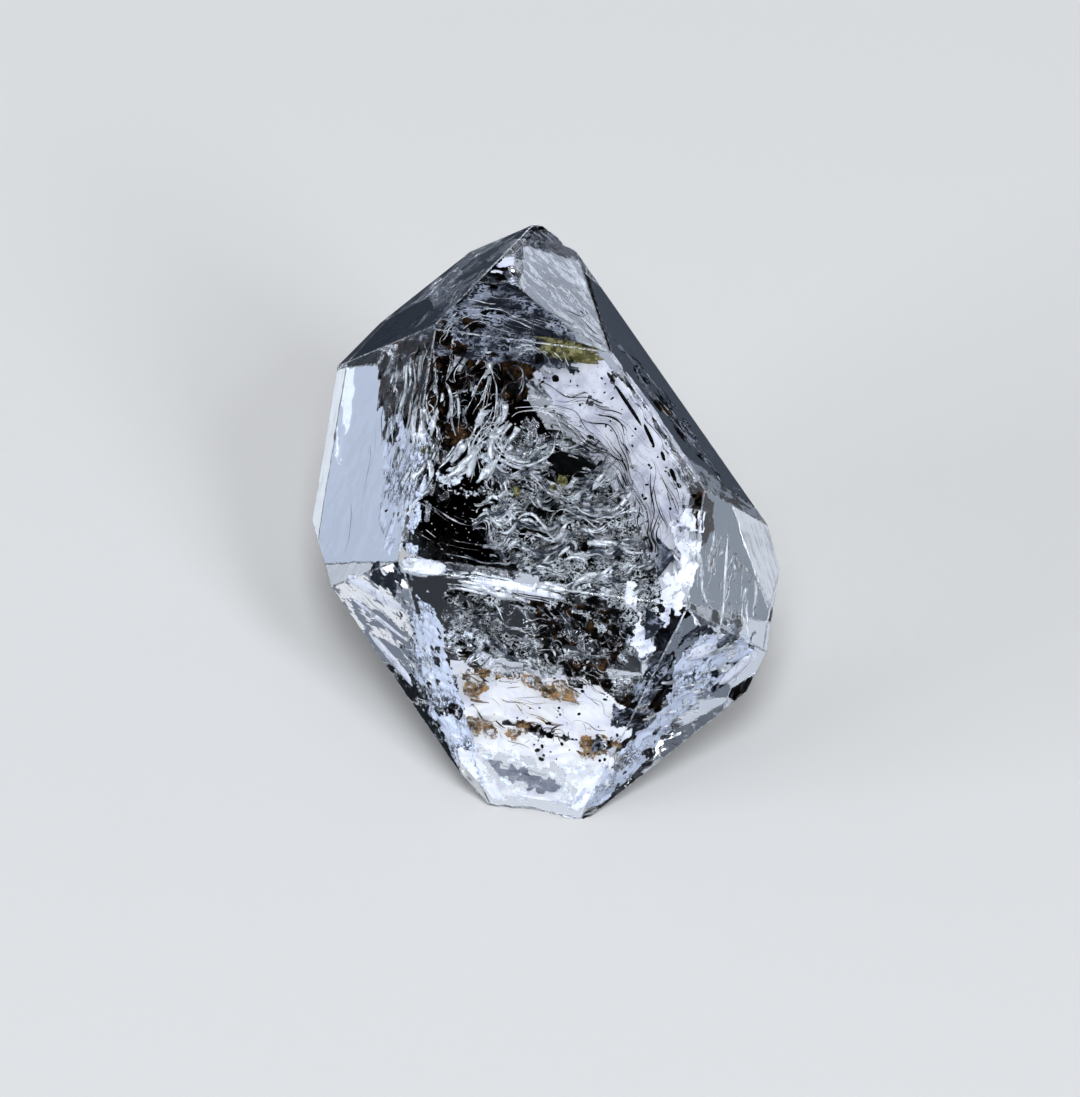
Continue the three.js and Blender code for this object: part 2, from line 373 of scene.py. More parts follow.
# The brown stains in the milky foot.
RUST_FILMS = {
    "foot_brown_film": Sheet(FRONT_LOWER, 0.5, 0.1, 0.3, 1.2, 174, 0.5, 0.2, -0.2, 26, [
        (-1.8, -3.1), (-0.4, -2.9), (1.0, -2.9), (2.3, -3.3), (2.6, -3.9), (1.6, -3.9), (0.4, -3.4),
        (-0.6, -3.6), (-1.0, -4.4), (-1.6, -4.4),
    ]),
    "foot_brown_streak": Sheet(FRONT_LOWER, 0.5, 0.08, 0.3, 1.2, 8, 0.5, 0.2, -0.15, 33, [
        (-1.7, -4.7), (-0.6, -4.9), (1.6, -4.6), (1.6, -5.0), (0.2, -5.4), (-1.2, -5.4),
    ]),
    "foot_rust_film": Sheet(FRONT_LOWER, 0.5, 0.08, 0.3, 0.8, 20, 0.5, 0.2, -0.25, 38, [
        (2.1, -5.2), (2.9, -4.8), (4.0, -4.8), (3.8, -5.4), (2.6, -5.9),
    ]),
}

# Worm-like hollow channels.
CHANNEL_BEDS = {
    "sweeping_channels": Bed(FRONT, (0.3, 0.9), 46, (1.2, 4.0), (0.01, 0.04), (-0.9, -2.7), 2.0, 0.25, 4, [
        (-1.5, 2.6), (0.0, 2.5), (1.6, 1.7), (3.4, -0.1), (4.3, -1.6), (3.6, -2.4), (2.1, -0.6),
        (0.5, 1.0), (-0.9, 1.5),
    ]),
    "left_channels": Bed(LEFT, (0.3, 0.8), 50, (0.5, 2.4), (0.015, 0.06), 86, 1.4, 0.4, 13, [
        (-1.4, 3.6), (1.6, 3.8), (2.2, -2.0), (0.9, -1.4), (-0.8, 0.4),
    ]),
    "curled_channels": Bed(FRONT, (0.3, 1.2), 80, (0.3, 1.2), (0.02, 0.045), (0.9, 0.2), 0.5, 1.8, 12, [
        (0.6, -0.9), (3.0, -1.1), (4.6, -2.0), (4.4, -3.3), (0.2, -3.2), (-1.0, -1.8),
    ]),
    "lower_channels": Bed(FRONT_LOWER, (0.3, 1.2), 90, (0.3, 1.6), (0.015, 0.035), 165, 0.6, 1.2, 17, [
        (-2.4, -0.8), (3.9, -0.6), (3.4, -4.2), (-1.6, -3.0),
    ]),
}

# Silvery strands.
STRAND_BEDS = {
    "tall_strands": Bed(FRONT, (0.3, 0.7), 50, (1.0, 3.4), (0.015, 0.2), 92, 1.1, 0.5, 9, [
        (-4.1, 3.7), (-2.2, 4.1), (-1.3, 4.2), (-1.2, 2.4), (-1.5, 0.4), (-2.2, -0.9), (-3.6, -1.0),
    ]),
    "left_tall_strands": Bed(LEFT, (0.3, 0.6), 50, (0.8, 2.6), (0.015, 0.15), 88, 1.1, 0.5, 3, [
        (-0.7, 3.6), (3.2, 4.0), (3.4, -2.2), (1.4, -2.4), (0.2, 0.0),
    ]),
    "loop_strands": Bed(FRONT, (0.3, 0.7), 26, (0.8, 2.4), (0.015, 0.13), (-0.66, 1.32), 1.4, 0.3, 14, [
        (-1.7, 2.2), (-0.7, 2.7), (0.3, 2.3), (0.6, 1.4), (0.3, 0.5), (-0.7, 0.0), (-1.7, 0.6),
        (-1.9, 1.4), (-1.2, 1.4), (-1.0, 0.8), (-0.5, 0.7), (0.0, 1.1), (-0.1, 1.8), (-0.7, 2.0),
        (-1.2, 1.7),
    ]),
    "crossing_strands": Bed(FRONT, (0.25, 0.5), 80, (0.4, 1.8), (0.01, 0.1), (-0.2, 3.6), 0.9, 0.9, 66, [
        (-0.8, 0.0), (0.0, 0.0), (0.4, -0.4), (1.6, -0.2), (2.1, 0.8), (3.0, 0.7), (4.2, -1.2),
        (4.4, -2.6), (4.2, -3.7), (1.2, -3.6), (-0.6, -2.6), (-1.6, -1.4),
    ]),
    "slanted_strands": Bed(FRONT, (0.3, 0.7), 24, (0.8, 2.2), (0.02, 0.15), 48, 1.4, 0.4, 31, [
        (-3.6, 0.0), (-1.6, 2.0), (-0.9, 1.6), (-1.4, -0.4), (-3.2, -0.9),
    ]),
    "right_strands": Bed(RIGHT, (0.3, 0.6), 34, (1.0, 3.0), (0.01, 0.09), 97, 1.6, 0.35, 46, [
        (-2.2, -0.4), (0.4, -1.0), (2.9, -2.0), (2.4, -4.6), (-1.6, -3.6), (-2.4, -2.6),
    ]),
    "right_lower_strands": Bed(RIGHT_LOWER, (0.3, 0.6), 30, (0.6, 2.4), (0.01, 0.1), 52, 1.6, 0.35, 47, [
        (-0.4, 0.8), (2.4, 1.4), (2.4, -1.4), (0.6, -3.6), (-0.4, -1.6),
    ]),
    "lower_left_strands": Bed(LEFT_LOWER, (0.25, 0.4), 22, (1.0, 2.6), (0.01, 0.08), -46, 2.0, 0.15, 48, [
        (-2.2, 1.2), (-1.2, 1.0), (0.4, -0.6), (0.4, -2.4), (-0.4, -3.4), (-1.4, -0.8),
    ]),
    "shoulder_left_strands": Bed(LEFT_UPPER, (0.22, 0.34), 40, (0.5, 2.2), (0.015, 0.08), 120, 1.6, 0.3, 33, [
        (-1.4, 0.2), (3.0, -0.6), (1.8, 1.2), (0.4, 3.9), (-0.6, 2.4),
    ]),
    "crown_strands": Bed(FRONT_UPPER, (0.3, 0.6), 46, (0.5, 2.4), (0.004, 0.03), (-2.2, -1.6), 1.2, 0.5, 37, [
        (-4.4, -0.1), (-3.7, 2.2), (-2.8, 3.5), (-1.9, 3.4), (-0.8, 2.4), (0.5, 0.9), (0.6, -0.4),
        (-3.4, -0.6),
    ]),
    "shoulder_strands": Bed(RIGHT_UPPER, (0.3, 0.7), 14, (0.5, 2.2), (0.015, 0.05), 118, 1.4, 0.3, 16, [
        (-2.2, 1.6), (-1.2, 1.2), (0.4, -1.6), (0.6, -3.6), (-0.6, -2.6), (-2.0, 0.0),
    ]),
    "ridge_strands": Bed(FRONT_LOWER, (0.25, 0.4), 26, (0.8, 2.4), (0.02, 0.16), 177, 2.0, 0.12, 20, [
        (-2.6, 0.2), (0.2, 0.5), (1.8, 0.3), (1.4, -0.4), (-2.4, -0.4),
    ]),
    "corner_streaks": Bed(FRONT, (0.25, 0.4), 14, (0.7, 1.8), (0.03, 0.16), 172, 2.0, 0.12, 23, [
        (-4.1, -3.1), (-2.2, -3.4), (-2.2, -3.9), (-4.1, -3.8),
    ]),
}

# Finer silvery tangles, which fade and come back.
TANGLE_BEDS = {
    "band_streaks": Bed(FRONT, (0.3, 0.6), 16, (0.6, 2.4), (0.005, 0.03), 168, 1.4, 0.3, 68, [
        (-4.1, -1.2), (-2.0, -1.2), (-0.4, -2.4), (0.2, -3.6), (-3.9, -3.2),
    ]),
    "upper_tangle": Bed(FRONT, (0.25, 0.7), 170, (0.3, 1.0), (0.006, 0.035), 92, 0.4, 1.5, 61, [
        (-4.1, 4.3), (-0.6, 4.4), (-0.9, 2.6), (-1.6, 1.0), (-4.0, 1.2),
    ]),
    "left_tangle": Bed(LEFT, (0.25, 0.6), 170, (0.3, 1.0), (0.006, 0.04), 88, 0.4, 1.4, 62, [
        (-0.8, 4.2), (2.9, 4.4), (3.0, -2.6), (1.4, -2.8), (-0.4, 0.0),
    ]),
    "edge_strands": Bed(FRONT, (0.22, 0.4), 110, (0.3, 1.0), (0.006, 0.05), -52, 0.6, 0.3, 63, [
        (2.0, 4.1), (2.6, 3.8), (5.2, 0.6), (5.2, -1.0), (4.7, -0.3), (3.4, 2.1), (2.2, 3.4),
    ]),
    "tangled_strands": Bed(FRONT, (0.3, 0.85), 560, (0.4, 1.8), (0.006, 0.075), (-0.2, 3.6), 0.5, 1.0, 6, [
        (-1.6, 0.4), (0.4, 1.8), (1.8, 1.7), (3.0, 0.7), (4.2, -1.2), (4.4, -2.6), (4.4, -3.9),
        (1.2, -3.7), (-1.3, -2.9), (-2.2, -1.6),
    ]),
    "crown_tangle": Bed(FRONT_UPPER, (0.3, 0.6), 34, (0.3, 0.9), (0.01, 0.05), (-2.2, -1.6), 0.4, 1.6, 39, [
        (-3.8, -0.2), (-1.6, 1.2), (-0.2, 2.2), (0.6, 1.0), (0.4, -0.2),
    ]),
    "foot_strands": Bed(FRONT_LOWER, (0.3, 0.8), 50, (0.4, 1.4), (0.015, 0.09), (-0.8, -3.4), 0.6, 1.2, 5, [
        (-2.0, -1.6), (0.2, -1.6), (1.6, -2.6), (0.8, -3.2), (-1.8, -3.2),
    ]),
    "band_strands": Bed(FRONT_LOWER, (0.3, 0.8), 130, (0.3, 1.2), (0.008, 0.04), 165, 0.45, 1.2, 45, [
        (-2.4, -0.6), (0.2, -0.4), (3.9, -0.6), (4.2, -1.6), (3.4, -3.2), (0.4, -2.2), (-2.2, -1.6),
    ]),
}

# Brown strands in the foot.
RUST_BEDS = {
    "foot_rust_strands": Bed(FRONT_LOWER, (0.25, 0.5), 44, (0.4, 2.0), (0.006, 0.04), 172, 0.8, 0.7, 27, [
        (-1.6, -3.3), (0.4, -3.2), (2.4, -3.4), (2.6, -4.2), (1.4, -5.2), (-0.8, -5.2), (-1.4, -4.2),
    ]),
    "foot_rust_curls": Bed(FRONT_LOWER, (0.25, 0.5), 26, (0.2, 0.8), (0.015, 0.05), 20, 0.4, 1.6, 28, [
        (1.4, -4.8), (2.9, -4.6), (4.0, -4.8), (3.8, -5.5), (2.2, -5.9),
    ]),
}

# Thin dark lines.
DARK_BEDS = {
    "sweeping_lines": Bed(FRONT, (0.28, 0.55), 150, (0.4, 2.8), (0.004, 0.026), (-0.9, -2.7), 0.9, 0.6, 51, [
        (-0.9, 3.3), (0.6, 3.4), (2.9, 2.2), (4.8, -0.4), (5.0, -2.2), (3.4, -2.0), (1.6, 0.2), (0.6, 1.4),
        (-0.9, 2.2),
    ]),
    "left_lines": Bed(LEFT, (0.22, 0.3), 16, (0.6, 2.8), (0.003, 0.012), 88, 1.6, 0.12, 70, [
        (-2.6, 3.4), (-1.4, 3.6), (-0.9, 1.4), (-1.0, -3.4), (-2.4, -3.0),
    ]),
    "fan_lines": Bed(FRONT_UPPER, (0.25, 0.4), 26, (0.4, 1.6), (0.006, 0.025), (-2.2, -1.6), 0.8, 0.4, 52, [
        (-0.8, 2.8), (0.4, 2.4), (1.4, 0.8), (0.8, 0.4), (-0.6, 1.6),
    ]),
    "oil_lines": Bed(FRONT, (0.22, 0.3), 16, (0.3, 1.2), (0.006, 0.022), -8, 0.5, 0.7, 53, [
        (-0.7, 4.7), (1.4, 4.7), (1.4, 4.1), (-0.6, 4.1),
    ]),
    "foot_lines": Bed(FRONT_LOWER, (0.25, 0.5), 50, (0.2, 1.3), (0.005, 0.024), 172, 0.5, 1.1, 54, [
        (-1.7, -2.9), (2.6, -2.9), (3.4, -4.4), (3.2, -5.8), (0.4, -5.6), (-1.3, -5.2),
    ]),
    "foot_contour": Bed(FRONT_LOWER, (0.21, 0.25), 12, (0.8, 2.2), (0.006, 0.02), -6, 0.9, 0.25, 55, [
        (-0.5, -6.25), (0.8, -6.3), (2.3, -6.5), (2.4, -6.8), (0.6, -6.7), (-0.5, -6.5),
    ]),
}

# Black grains.
GRAIN_BEDS = {
    "pale_grains": Scatter(FRONT, (0.25, 0.6), 60, (0.02, 0.09), 2.2, 58, [
        (-0.5, 4.1), (1.2, 4.2), (3.0, 2.6), (4.8, 0.2), (4.6, -0.8), (2.6, 1.6), (0.9, 2.6), (-0.6, 2.6),
    ]),
    "swirl_grains": Scatter(FRONT, (0.3, 0.9), 60, (0.05, 0.16), 2.2, 5, [
        (-2.6, 3.4), (-0.8, 3.8), (1.6, 1.9), (4.9, -0.9), (4.4, -3.1), (0.2, -2.9), (-2.2, -0.6),
    ]),
    "left_grains": Scatter(LEFT, (0.3, 0.8), 26, (0.04, 0.12), 3.0, 6, [
        (-1.2, 4.4), (2.8, 4.4), (2.8, -2.4), (0.4, -1.6),
    ]),
    "foot_grains": Scatter(FRONT_LOWER, (0.2, 0.5), 26, (0.06, 0.17), 1.6, 7, [
        (0.7, -4.9), (3.4, -4.7), (3.6, -5.7), (0.9, -6.0),
    ]),
    "lower_grains": Scatter(FRONT_LOWER, (0.2, 0.8), 40, (0.04, 0.12), 2.0, 10, [
        (-1.6, -2.6), (3.9, -1.6), (3.6, -4.8), (-1.4, -6.0),
    ]),
}

# Small silvery bubbles of gas.
BUBBLE_BEDS = {
    "band_bubbles": Scatter(FRONT, (0.2, 1.2), 130, (0.03, 0.09), 1.6, 21, [
        (-4.1, -1.2), (-2.0, -1.2), (0.6, -2.6), (0.4, -3.8), (-3.8, -3.8),
    ]),
    "swirl_bubbles": Scatter(FRONT, (0.2, 0.8), 260, (0.03, 0.1), 2.4, 22, [
        (-4.0, 3.6), (-1.8, 3.0), (-0.6, 1.6), (0.6, 1.2), (2.4, 0.2), (4.2, -2.2), (4.4, -3.4),
        (0.6, -3.2), (-3.0, -0.8),
    ]),
    "right_bubbles": Scatter(RIGHT, (0.2, 0.9), 90, (0.03, 0.08), 3.0, 24, [
        (-2.4, 0.4), (2.8, -2.0), (2.2, -5.0), (-1.6, -3.6),
    ]),
    "lower_bubbles": Scatter(FRONT_LOWER, (0.2, 0.8), 340, (0.03, 0.11), 2.0, 25, [
        (-2.8, -0.3), (4.4, -0.4), (3.8, -3.0), (-1.6, -3.2),
    ]),
    "lower_left_bubbles": Scatter(LEFT_LOWER, (0.2, 0.8), 260, (0.04, 0.16), 2.6, 27, [
        (1.9, 0.6), (1.0, 0.0), (-0.2, -2.0), (-0.7, -4.8), (0.0, -5.0), (0.6, -3.0), (1.3, -1.0),
    ]),
    "lower_right_bubbles": Scatter(RIGHT_LOWER, (0.2, 0.8), 120, (0.03, 0.09), 2.6, 28, [
        (-0.6, 1.0), (2.6, 1.6), (1.8, -3.0), (0.4, -4.2),
    ]),
}

# Single lumps: the face, where on it across and up, depth, width, height and thickness in mm, the
# heading in degrees, and how finely the ball is divided. These are black grains and dashes.
CARBON_LUMPS = {
    "dark_blob": (FRONT, 0.97, 0.52, 0.37, 1.55, 0.74, 0.26, -8, 4),
    "dark_blob_lobe": (FRONT, 0.6, 0.4, 0.37, 0.7, 0.42, 0.24, -30, 4),
    "upper_grain": (FRONT, -1.36, 2.86, 0.4, 0.42, 0.3, 0.2, -20, 3),
    "crown_grain": (FRONT, -0.62, 3.98, 0.35, 0.34, 0.44, 0.2, 10, 3),
    "small_grain": (FRONT, 0.0, 3.4, 0.35, 0.24, 0.26, 0.16, 40, 3),
    "long_dash": (FRONT, 2.48, 2.86, 0.3, 1.6, 0.13, 0.1, -49, 4),
    "top_dash": (FRONT, 1.8, 3.68, 0.3, 0.4, 0.1, 0.1, -50, 3),
    "middle_dash": (FRONT, 3.37, 1.87, 0.3, 0.85, 0.13, 0.1, -58, 3),
    "short_dash": (FRONT, 3.93, 1.24, 0.3, 0.36, 0.12, 0.1, -64, 3),
    "low_dash": (FRONT, 4.35, 0.65, 0.3, 0.5, 0.13, 0.1, -60, 3),
    "last_dash": (FRONT, 4.6, 0.3, 0.3, 0.2, 0.12, 0.1, -50, 3),
}

# Drops and bands of oil.
OIL_LUMPS = {
    "yellow_drop": (FRONT, 0.74, -0.02, 0.45, 0.34, 0.4, 0.25, 15, 3),
    "yellow_droplet": (FRONT, 0.5, -0.3, 0.45, 0.2, 0.24, 0.16, 60, 3),
    "blob_oil": (FRONT, 0.62, 0.72, 0.42, 0.46, 0.2, 0.14, -12, 3),
    "upper_oil": (FRONT_UPPER, 0.2, 0.62, 0.45, 2.0, 0.3, 0.16, -7, 4),
    "oil_band": (FRONT, 0.42, 4.3, 0.45, 2.1, 0.42, 0.18, -3, 4),
    "left_oil": (LEFT, 2.3, 0.5, 0.5, 0.3, 0.2, 0.15, 20, 3),
    "side_oil": (FRONT, -3.9, 0.36, 0.4, 0.3, 0.2, 0.15, 10, 3),
    "lower_oil": (FRONT, -0.7, -0.55, 0.5, 0.22, 0.5, 0.15, 20, 3),
}

# White patches and streaks. The ridge and corner streaks are painted highlights: white lumps where bright
# glints lie along the edge.
WHITE_LUMPS = {
    # Painted highlight: a white streak where a bright glint runs along the ridge.
    "ridge_streak": (FRONT_LOWER, -0.1, 0.12, 0.26, 2.9, 0.26, 0.12, -4, 4),
    # Painted highlight: a white streak where a bright glint lies low on the front face.
    "corner_streak": (FRONT, -3.3, -3.55, 0.26, 1.5, 0.42, 0.12, -2, 4),
    "lower_left_band": (LEFT_LOWER, 0.0, 0.35, 0.3, 3.2, 0.42, 0.12, -31, 4),
    "lower_left_line": (LEFT_LOWER, -0.6, -0.45, 0.3, 2.8, 0.2, 0.12, -41, 4),
    "lower_left_fringe": (LEFT_LOWER, -0.95, -1.9, 0.3, 2.4, 0.42, 0.12, -60, 4),
    "right_streak": (RIGHT, 0.2, -2.2, 0.35, 2.6, 0.14, 0.1, 100, 4),
    "right_lower_patch": (RIGHT_LOWER, 0.5, 0.5, 0.4, 1.2, 0.6, 0.15, 40, 4),
    "right_lower_edge_patch": (RIGHT_LOWER, 2.6, 0.6, 0.4, 1.6, 0.5, 0.15, 75, 4),
}

# Dark three-cornered panes: the face, across, up, depth, width, height and heading.
WINDOWS = {
    "upper_window": (FRONT, 4.5, -2.2, 0.35, 1.0, 1.7, 9),
    "lower_window": (FRONT_LOWER, 4.4, -0.5, 0.35, 1.0, 1.5, 5),
}


class Value:
    """One output of a shader node. Sums written with it add the Math nodes they need."""

    def __init__(self, finish, socket):
        self.finish = finish
        self.socket = socket

    def math(self, operation, first, second):
        return self.finish.node("ShaderNodeMath", {"operation": operation}, {0: first, 1: second})

    def __add__(self, other):
        return self.math("ADD", self, other)

    def __mul__(self, other):
        return self.math("MULTIPLY", self, other)

    __radd__ = __add__
    __rmul__ = __mul__


class Finish:
    """A material whose plain numbers are set on the shader, and whose patterns are added by node()."""

    def __init__(self, name, plain):
        self.material = bpy.data.materials.new(name)
        self.material.use_nodes = True
        self.tree = self.material.node_tree
        self.shader = self.tree.nodes["Principled BSDF"]
        for socket, value in plain.items():
            self.shader.inputs[socket].default_value = value

    def feed(self, socket, value):
        if isinstance(value, Value):
            self.tree.links.new(value.socket, socket)
        else:
            socket.default_value = value

    def set(self, socket, value):
        self.feed(self.shader.inputs[socket], value)

    def node(self, kind, settings, sockets, output=0):
        made = self.tree.nodes.new(kind)
        for name, value in settings.items():
            setattr(made, name, value)
        for name, value in sockets.items():
            self.feed(made.inputs[name], value)
        return Value(self, made.outputs[output])

    def place(self, scale=(1, 1, 1)):
        """Where a point lies, in mm, with each axis stretched by a scale."""
        where = self.node("ShaderNodeTexCoord", {}, {}, "Object")
        return self.node("ShaderNodeMapping", {}, {"Vector": where, "Scale": [s / MM for s in scale]})

    def clouds(self, size, detail=3, rough=0.5, scale=(1, 1, 1)):
        sockets = {"Vector": self.place(scale), "Scale": 1 / size, "Detail": detail, "Roughness": rough}
        return self.node("ShaderNodeTexNoise", {}, sockets)

    def step(self, value, low, high, under=0.0, over=1.0):
        """A soft step: under while the value is below low, over once it is above high."""
        sockets = {"Value": value, "From Min": low, "From Max": high, "To Min": under, "To Max": over}
        return self.node("ShaderNodeMapRange", {"interpolation_type": "SMOOTHSTEP"}, sockets)

    def blend(self, part, first, second):
        """A colour between two, by how large the part is. The numbers are a Mix node's colour sockets."""
        return self.node("ShaderNodeMix", {"data_type": "RGBA"}, {0: part, 6: first, 7: second}, 2)

    def relief(self, height, depth):
        """The surface raised by a height from 0 to 1, by a depth in mm."""
        bump = self.node("ShaderNodeBump", {}, {"Height": height, "Strength": 1.0, "Distance": depth * MM})
        self.set("Normal", bump)


def clear_quartz():
    finish = Finish("clear_quartz", {
        "Base Color": (0.98, 0.985, 1.0, 1),
        "Roughness": 0.0,
        "IOR": QUARTZ_IOR,
        "Transmission Weight": 1.0,
    })
    swell = finish.clouds(1.6, detail=2)
    steps = finish.clouds(0.5, detail=3, scale=(0.35, 1, 1))
    finish.relief(swell + steps * 0.18, 0.015)
    return finish.material


def worn_quartz():
    finish = Finish("worn_quartz", {"IOR": QUARTZ_IOR, "Transmission Weight": 0.9})
    beads = finish.step(finish.clouds(0.35, detail=4), 0.42, 0.6)
    finish.set("Base Color", finish.blend(beads, (0.3, 0.32, 0.36, 1), (0.95, 0.96, 0.98, 1)))
    finish.set("Roughness", finish.step(finish.clouds(0.2), 0.4, 0.6, 0.05, 0.6))
    finish.relief(finish.clouds(0.1), 0.02)
    return finish.material


def gas_film():
    """A film or channel of gas, which mirrors or lets through as the light meets it."""
    finish = Finish("gas_film", {
        "Base Color": (0.97, 0.98, 1.0, 1),
        "Roughness": 0.0,
        "IOR": GAS_IN_QUARTZ,
        "Transmission Weight": 1.0,
    })
    return finish.material


def silver(name, fading):
    """A silvery hollow, which darkens where its clouds are under a level."""
    finish = Finish(name, {"Metallic": 0.65})
    fine = finish.step(finish.clouds(0.4, detail=4, rough=0.6), fading, fading + 0.12)
    broad = finish.step(finish.clouds(1.4, detail=2), fading, fading + 0.12, 0.35, 1.0)
    finish.set("Base Color", finish.blend(fine * broad, (0.05, 0.06, 0.08, 1), (0.97, 0.98, 1.0, 1)))
    finish.set("Roughness", finish.step(finish.clouds(0.3), 0.4, 0.6, 0.2, 0.45))
    finish.relief(finish.clouds(0.1), 0.016)
    return finish.material


def brown_film():
    finish = Finish("brown_film", {"Roughness": 0.4, "IOR": STAIN_IN_QUARTZ})
    tone = finish.step(finish.clouds(0.55, detail=7, rough=0.7), 0.47, 0.72)
    finish.set("Base Color", finish.blend(tone, (0.003, 0.002, 0.0015, 1), (0.075, 0.036, 0.015, 1)))
    finish.set("Alpha", finish.step(finish.clouds(0.6, detail=5, rough=0.7), 0.32, 0.5))
    return finish.material


def rust():
    finish = Finish("rust", {"Roughness": 0.4, "IOR": STAIN_IN_QUARTZ})
    tone = finish.step(finish.clouds(0.25, detail=5, rough=0.6), 0.36, 0.6)
    finish.set("Base Color", finish.blend(tone, (0.02, 0.01, 0.005, 1), (0.36, 0.21, 0.09, 1)))
    finish.set("Alpha", finish.step(finish.clouds(0.35, detail=8, rough=0.75), 0.36, 0.6))
    return finish.material


def net(name, size, stretch, cell, line):
    """A crumpled film: cells of one colour, closed in by lines of another that fade and come back."""
    finish = Finish(name, {"Roughness": 0.5, "IOR": STAIN_IN_QUARTZ})
    drift = finish.node(
        "ShaderNodeTexNoise", {}, {"Vector": finish.place(), "Scale": 1.5 / size, "Detail": 3}, "Color"
    )
    sockets = {0: drift, 1: (size * 3,) * 3, 2: finish.place(stretch)}
    bent = finish.node("ShaderNodeVectorMath", {"operation": "MULTIPLY_ADD"}, sockets)
    sockets = {"Vector": bent, "Scale": 1 / size}
    edges = finish.node("ShaderNodeTexVoronoi", {"feature": "DISTANCE_TO_EDGE"}, sockets)
    lines = finish.step(edges, 0.02, 0.2, 1.0, 0.0)
    share = finish.step(finish.clouds(size * 2.5, detail=5, rough=0.65), 0.42, 0.62)
    finish.set("Base Color", finish.blend(lines * share, cell, line))
    return finish.material


def veil(name, colour, patch, clear, shading=0.65, softness=0.1):
    """A milky veil with shaded patches, which is clear where its clouds are under a level."""
    finish = Finish(name, {"Roughness": 0.7, "IOR": STAIN_IN_QUARTZ})
    shade = (colour[0] * shading, colour[1] * shading, colour[2] * shading * 1.1, 1)
    tone = finish.step(finish.clouds(0.7, detail=6, rough=0.65), 0.36, 0.56)
    finish.set("Base Color", finish.blend(tone, shade, colour))
    finish.set("Alpha", finish.step(finish.clouds(patch, detail=6, rough=0.75), clear, clear + softness))
    return finish.material


def carbon():
    finish = Finish("carbon", {"Base Color": (0.003, 0.003, 0.003, 1), "IOR": CARBON_IN_QUARTZ})
    finish.set("Roughness", finish.step(finish.clouds(0.08), 0.4, 0.6, 0.25, 0.7))
    finish.relief(finish.clouds(0.06), 0.02)
    return finish.material


def oil():
    finish = Finish("oil", {"Roughness": 0.05, "IOR": OIL_IN_QUARTZ, "Transmission Weight": 0.6})
    tone = finish.step(finish.clouds(0.2), 0.35, 0.65)
    finish.set("Base Color", finish.blend(tone, (0.1, 0.092, 0.03, 1), (0.46, 0.42, 0.2, 1)))
    return finish.material


def outward(side, band):
    """The direction that a face looks in, before the crystal is laid down."""
    azimuth = math.radians(list(REACH).index(side) * SIDE_STEP)
    slant = math.radians(BAND_SLANT[band])
    level = math.cos(slant)
    return Vector((math.sin(azimuth) * level, -math.cos(azimuth) * level, math.sin(slant)))


FACE_PLANES = [(outward(side, band), far) for side, reach in REACH.items() for band, far in reach.items()]


def face_place(side, band):
    """The move from a flat drawing in mm, across and up, with +Z outwards, onto a face of the crystal."""
    out = outward(side, band)
    across = Vector((0, 0, 1)).cross(out).normalized()
    turn = Matrix((across, out.cross(across), out)).transposed().to_4x4()
    return Matrix.Translation(out * REACH[side][band]) @ turn


def corner(*faces):
    """The point where three faces meet."""
    normals = Matrix([outward(side, band) for side, band in faces])
    return normals.inverted() @ Vector([REACH[side][band] for side, band in faces])


def depth_in_crystal(point):
    """How far a point, in mm from the crystal's middle, lies under the nearest face."""
    return min(far - out.dot(point) for out, far in FACE_PLANES)


def direction(azimuth, elevation):
    """Where something stands as the crystal sees it: 0 in front, 90 to the right, in degrees."""
    a, e = math.radians(azimuth), math.radians(elevation)
    return Vector((math.sin(a) * math.cos(e), -math.cos(a) * math.cos(e), math.sin(e)))


def facing(towards):
    """The turn of a lamp or camera that stands in a direction and looks back at the middle."""
    return (-towards).to_track_quat("-Z", "Y").to_matrix().to_4x4()


def spin(degrees):
    return Matrix.Rotation(math.radians(degrees), 4, "Z")


def select_only(piece):
    bpy.ops.object.select_all(action="DESELECT")
    bpy.context.view_layer.objects.active = piece
    piece.select_set(True)


def edit(piece):
    select_only(piece)
    bpy.ops.object.mode_set(mode="EDIT")


def close_edit():
    """Turns all normals outwards and leaves edit mode."""
    bpy.ops.mesh.normals_make_consistent(inside=False)
    bpy.ops.object.mode_set(mode="OBJECT")


def named_piece(name):
    piece = bpy.context.active_object
    piece.name = piece.data.name = name
    return piece


def seal_in(piece, face, material):
    """Smooths a piece that is drawn flat, puts it where it lies under a face, and gives it its finish."""
    bpy.ops.object.shade_smooth()
    piece.data.transform(PLACE @ face_place(*face))
    piece.data.materials.append(material)
    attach(piece, "root")


def make_camera():
    back = direction(CAMERA_AZIMUTH, CAMERA_ELEVATION)
    place = Matrix.Translation((CAMERA_AIM + back * CAMERA_DISTANCE) * MM)
    data = bpy.data.cameras.new("camera")
    data.lens = data.sensor_width * CAMERA_DISTANCE / FRAME_HEIGHT
    data.clip_start = 0.01
    camera = bpy.data.objects.new("camera", data)
    bpy.context.scene.collection.objects.link(camera)
    camera.matrix_world = place @ facing(back) @ spin(CAMERA_ROLL)
    bpy.context.scene.camera = camera


def make_lamp(name, azimuth, elevation, wide, high, brightness, colour):
    data = bpy.data.lights.new(name, "AREA")
    data.shape = "RECTANGLE"
    data.size = 2 * LAMP_DISTANCE * MM * math.tan(math.radians(wide / 2))
    data.size_y = 2 * LAMP_DISTANCE * MM * math.tan(math.radians(high / 2))
    data.energy = brightness * math.pi * data.size * data.size_y
    data.color = colour
    lamp = bpy.data.objects.new(name, data)
    bpy.context.scene.collection.objects.link(lamp)
    towards = direction(azimuth, elevation)
    lamp.matrix_world = Matrix.Translation(LAMP_AIM + towards * LAMP_DISTANCE * MM) @ facing(towards)
    lamp.visible_camera = False


